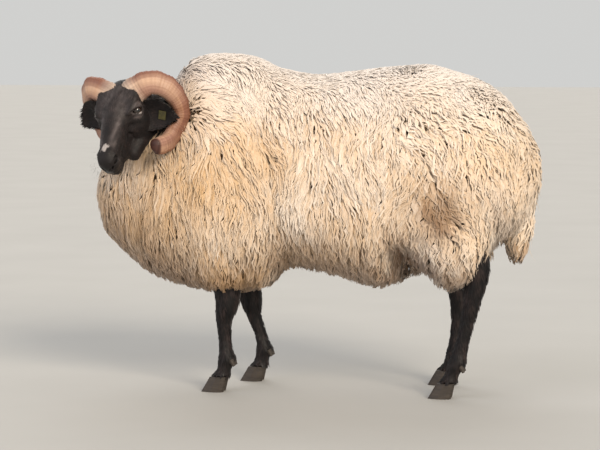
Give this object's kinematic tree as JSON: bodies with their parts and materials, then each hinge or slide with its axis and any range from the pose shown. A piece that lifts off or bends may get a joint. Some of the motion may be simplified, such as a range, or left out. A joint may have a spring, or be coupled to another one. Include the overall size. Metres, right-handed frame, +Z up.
{
  "type": "sheep",
  "caption": "Horned hill sheep standing in full fleece, black face and legs, curled horns, head turned to its left; a still life-size model.",
  "frame": {"origin": "middle of the ground that the whole sheep covers, at the level of its soles", "axes": "+Z up, -X the way the body faces, -Y the sheep's own left side"},
  "size_m": [1.0698, 0.5304, 0.7933],
  "materials": {
    "fleece": "matt cream wool in hanging locks",
    "black_hair": "short soft black hair with a slight sheen",
    "horn": "ridged tan horn, paler at the root, satin",
    "hoof": "dull dark horn of the claws",
    "eye": "wet amber eye",
    "tag": "plain faded yellow tag, blank"
  },
  "bodies": {
    "root": {"dewclaw_inner_front_left": "hoof", "dewclaw_inner_front_right": "hoof", "dewclaw_inner_hind_left": "hoof", "dewclaw_inner_hind_right": "hoof", "dewclaw_outer_front_left": "hoof", "dewclaw_outer_front_right": "hoof", "dewclaw_outer_hind_left": "hoof", "dewclaw_outer_hind_right": "hoof", "ear_left": "black_hair", "ear_right": "black_hair", "ear_tag": "tag", "eye_left": "eye", "eye_right": "eye", "head": "black_hair", "hoof_inner_front_left": "hoof", "hoof_inner_front_right": "hoof", "hoof_inner_hind_left": "hoof", "hoof_inner_hind_right": "hoof", "hoof_outer_front_left": "hoof", "hoof_outer_front_right": "hoof", "hoof_outer_hind_left": "hoof", "hoof_outer_hind_right": "hoof", "horn_left": "horn", "horn_right": "horn", "leg_front_left": "black_hair", "leg_front_right": "black_hair", "leg_hind_left": "black_hair", "leg_hind_right": "black_hair", "neck": "fleece", "tail": "fleece", "trunk": "fleece"}
  },
  "joints": []
}
